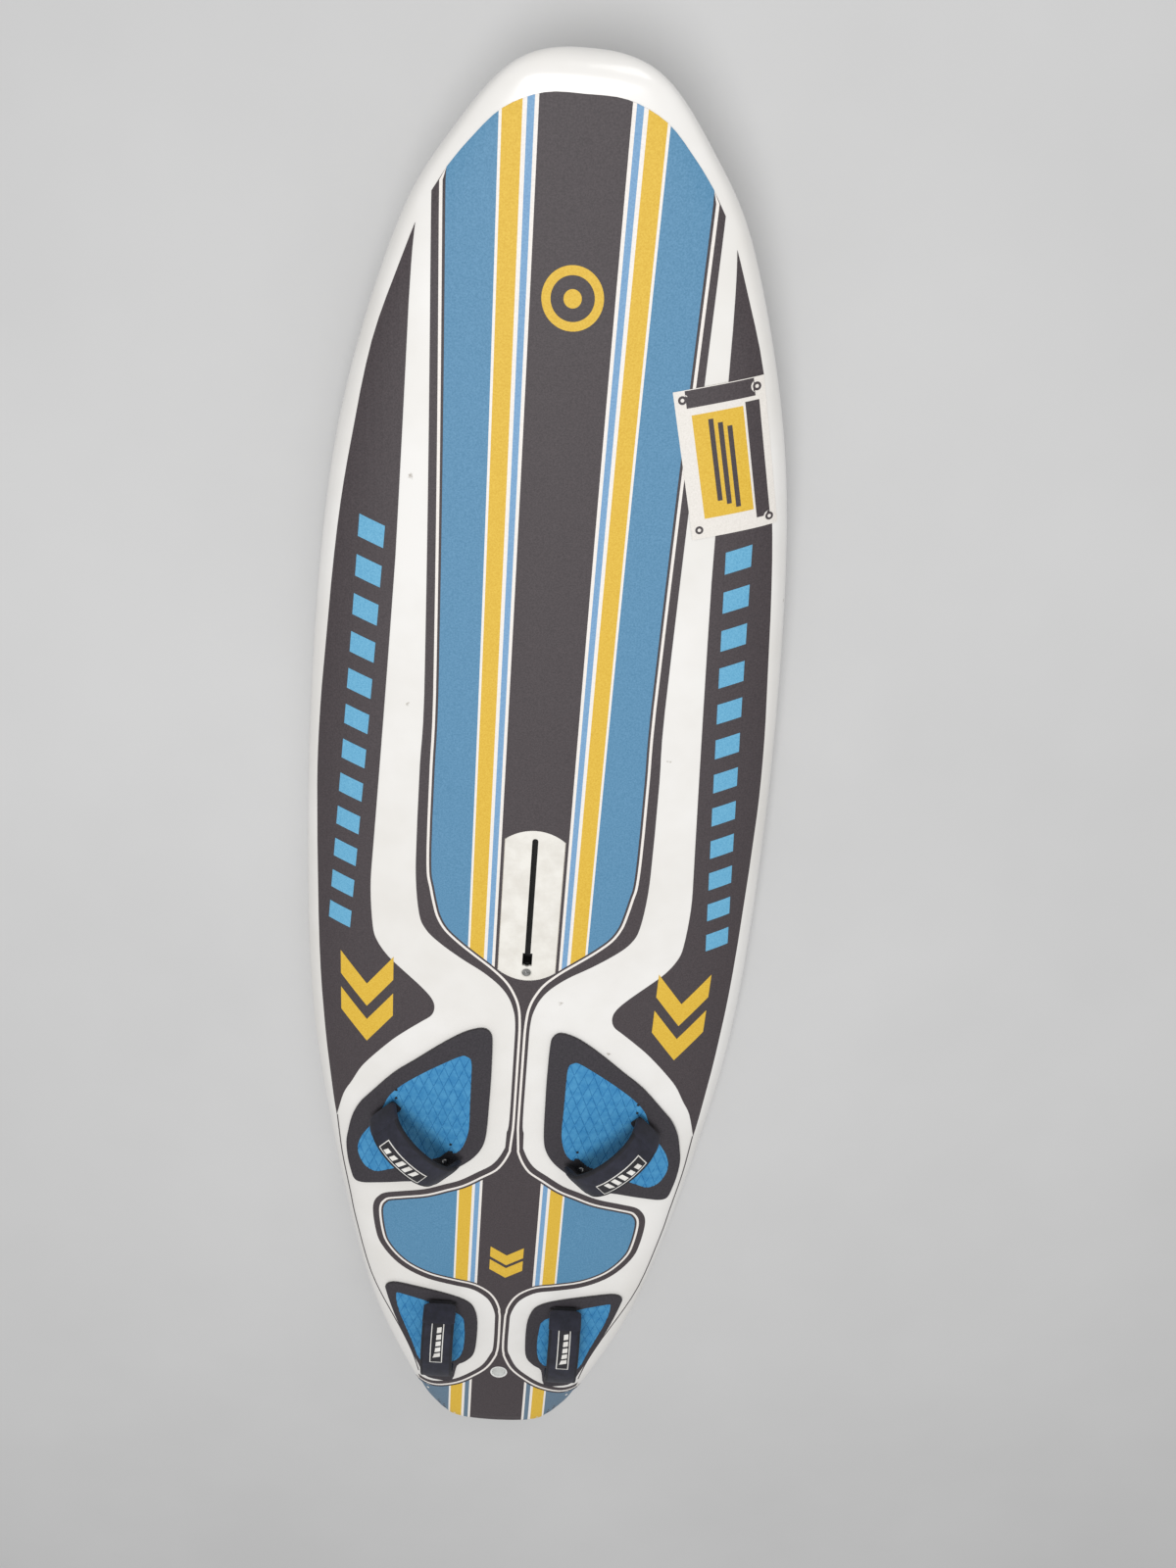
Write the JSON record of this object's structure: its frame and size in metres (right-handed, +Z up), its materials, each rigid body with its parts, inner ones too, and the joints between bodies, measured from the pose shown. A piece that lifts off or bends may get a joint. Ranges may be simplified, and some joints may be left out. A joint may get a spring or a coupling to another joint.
{
  "type": "windsurf board",
  "caption": "Wide freeride windsurf board with a mast track, four footstraps on soft deck pads and a bolted fin box, lying flat on its bottom.",
  "frame": {"origin": "under the middle of the board, on the plane that its flat bottom rests on", "axes": "+X to starboard, +Y to the nose, +Z up"},
  "size_m": [0.7903, 2.6087, 0.2556],
  "materials": {
    "eps_foam": "expanded foam",
    "laminate_white": "satin painted glass laminate",
    "pvc_foam": "dense closed-cell foam",
    "box_white": "moulded, fine texture",
    "box_black": "moulded",
    "cup_white": "moulded, smooth",
    "vent_housing": "moulded",
    "vent_screw": "turned stainless",
    "seal_rubber": "smooth",
    "pad_charcoal": "fine foam skin",
    "pad_blue": "grooved foam",
    "plug_plastic": "moulded",
    "webbing": "woven",
    "sleeve_neoprene": "laminated neoprene",
    "label_woven": "woven",
    "washer_plastic": "moulded",
    "screw_steel": "stainless"
  },
  "bodies": {
    "board": {"deck_laminate": "laminate_white", "fin_bolt_cup": "cup_white", "fin_box": "box_black", "fin_box_block": "pvc_foam", "foam_core": "eps_foam", "front_left_end_tabs": "webbing", "front_left_pad_border": "pad_charcoal", "front_left_pad_inlay": "pad_blue", "front_left_plugs": "plug_plastic", "front_left_screws": "screw_steel", "front_left_washers": "washer_plastic", "front_right_end_tabs": "webbing", "front_right_pad_border": "pad_charcoal", "front_right_pad_inlay": "pad_blue", "front_right_plugs": "plug_plastic", "front_right_screws": "screw_steel", "front_right_washers": "washer_plastic", "hull_laminate": "laminate_white", "mast_track_block": "pvc_foam", "mast_track_box": "box_white", "rear_left_end_tabs": "webbing", "rear_left_pad_border": "pad_charcoal", "rear_left_pad_inlay": "pad_blue", "rear_left_plugs": "plug_plastic", "rear_left_screws": "screw_steel", "rear_left_washers": "washer_plastic", "rear_right_end_tabs": "webbing", "rear_right_pad_border": "pad_charcoal", "rear_right_pad_inlay": "pad_blue", "rear_right_plugs": "plug_plastic", "rear_right_screws": "screw_steel", "rear_right_washers": "washer_plastic", "vent_housing": "vent_housing"},
    "vent_seal": {"vent_seal": "seal_rubber"},
    "vent_screw": {"vent_screw": "vent_screw"},
    "front_left_strap": {"front_left_strap_webbing": "webbing", "front_left_strap_sleeve": "sleeve_neoprene", "front_left_strap_label": "label_woven"},
    "front_right_strap": {"front_right_strap_webbing": "webbing", "front_right_strap_sleeve": "sleeve_neoprene", "front_right_strap_label": "label_woven"},
    "rear_left_strap": {"rear_left_strap_webbing": "webbing", "rear_left_strap_sleeve": "sleeve_neoprene", "rear_left_strap_label": "label_woven"},
    "rear_right_strap": {"rear_right_strap_webbing": "webbing", "rear_right_strap_sleeve": "sleeve_neoprene", "rear_right_strap_label": "label_woven"}
  },
  "joints": [
    {"name": "vent_lift", "type": "slide", "parent": "board", "child": "vent_seal", "axis": [0, 0, 1], "range_m": [0, 0.006]},
    {"name": "vent_turn", "type": "hinge", "parent": "vent_seal", "child": "vent_screw", "pos_m": [0, -0.086, 0.12], "axis": [0, 0, 1], "range_deg": [0, 1440]},
    {"name": "front_left_strap_lean", "type": "hinge", "parent": "board", "child": "front_left_strap", "pos_m": [-0.183, -0.466, 0.13342], "axis": [-0.7129, 0.7007, -0.0285], "range_deg": [-20, 20], "stiffness_Nm_per_rad": 1.2},
    {"name": "front_right_strap_lean", "type": "hinge", "parent": "board", "child": "front_right_strap", "pos_m": [0.183, -0.466, 0.13342], "axis": [0.7129, 0.7007, -0.0285], "range_deg": [-20, 20], "stiffness_Nm_per_rad": 1.2},
    {"name": "rear_left_strap_lean", "type": "hinge", "parent": "board", "child": "rear_left_strap", "pos_m": [-0.127, -0.982, 0.12767], "axis": [0, 0.9992, 0.04], "range_deg": [-20, 20], "stiffness_Nm_per_rad": 1.2},
    {"name": "rear_right_strap_lean", "type": "hinge", "parent": "board", "child": "rear_right_strap", "pos_m": [0.127, -0.982, 0.12767], "axis": [0, 0.9992, 0.04], "range_deg": [-20, 20], "stiffness_Nm_per_rad": 1.2}
  ],
  "couplings": [
    {"joint": "vent_turn", "follows": "vent_lift", "rad_per_m": 4188.7}
  ]
}
